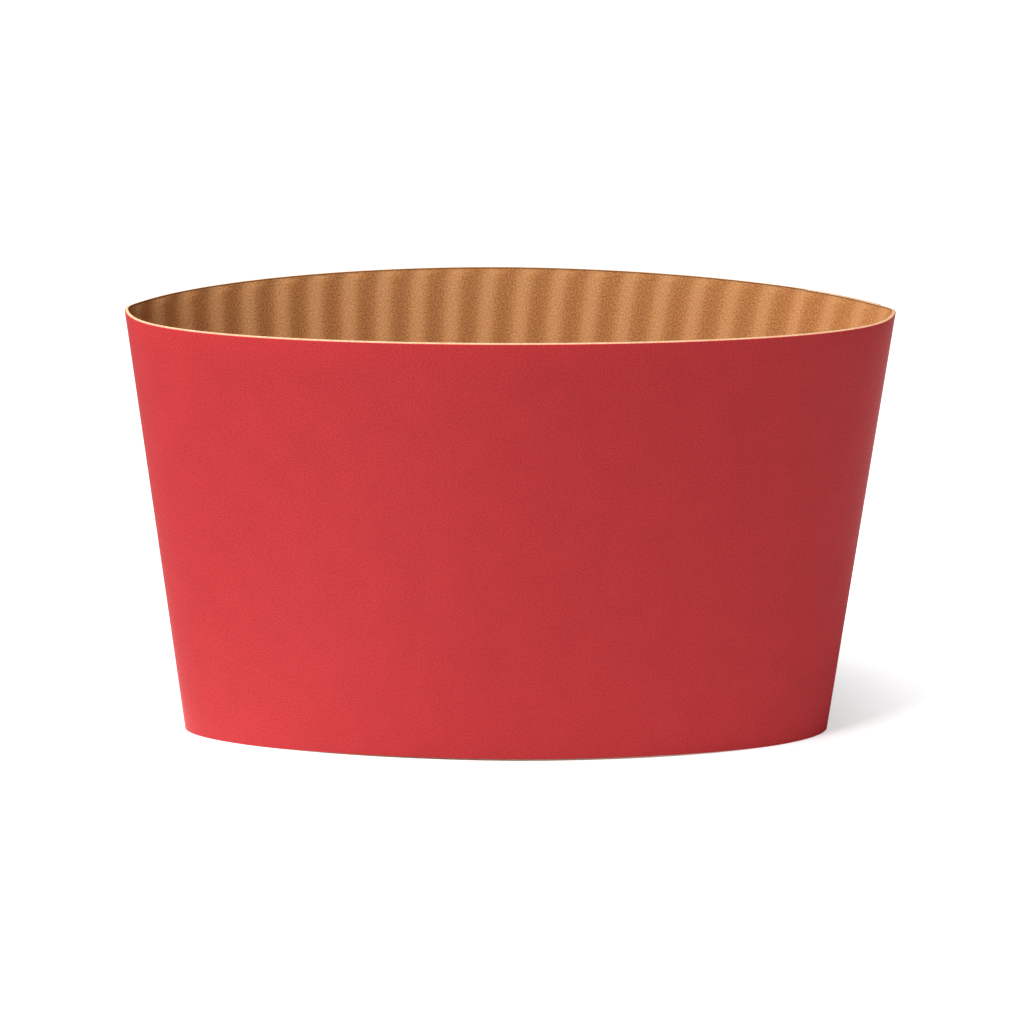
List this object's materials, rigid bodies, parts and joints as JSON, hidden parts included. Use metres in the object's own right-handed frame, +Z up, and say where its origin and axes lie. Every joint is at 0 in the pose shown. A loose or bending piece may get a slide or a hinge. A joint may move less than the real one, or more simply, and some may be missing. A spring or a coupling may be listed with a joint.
{
  "type": "coffee cup sleeve",
  "caption": "Tapered board sleeve for a hot cup, opened out on its narrow edge: printed outer face, rippled inner face, raw edges and a glued lap at the back.",
  "frame": {"origin": "on the table, under the middle of the sleeve", "axes": "+Z up, +X from the left fold to the right fold, the plain panel faces -Y and the glued lap is at +Y"},
  "size_m": [0.1112, 0.0456, 0.0648],
  "materials": {
    "printed_board": "matte printed paper outside, bare kraft inside"
  },
  "bodies": {
    "root": {"sleeve": "printed_board"}
  },
  "joints": []
}
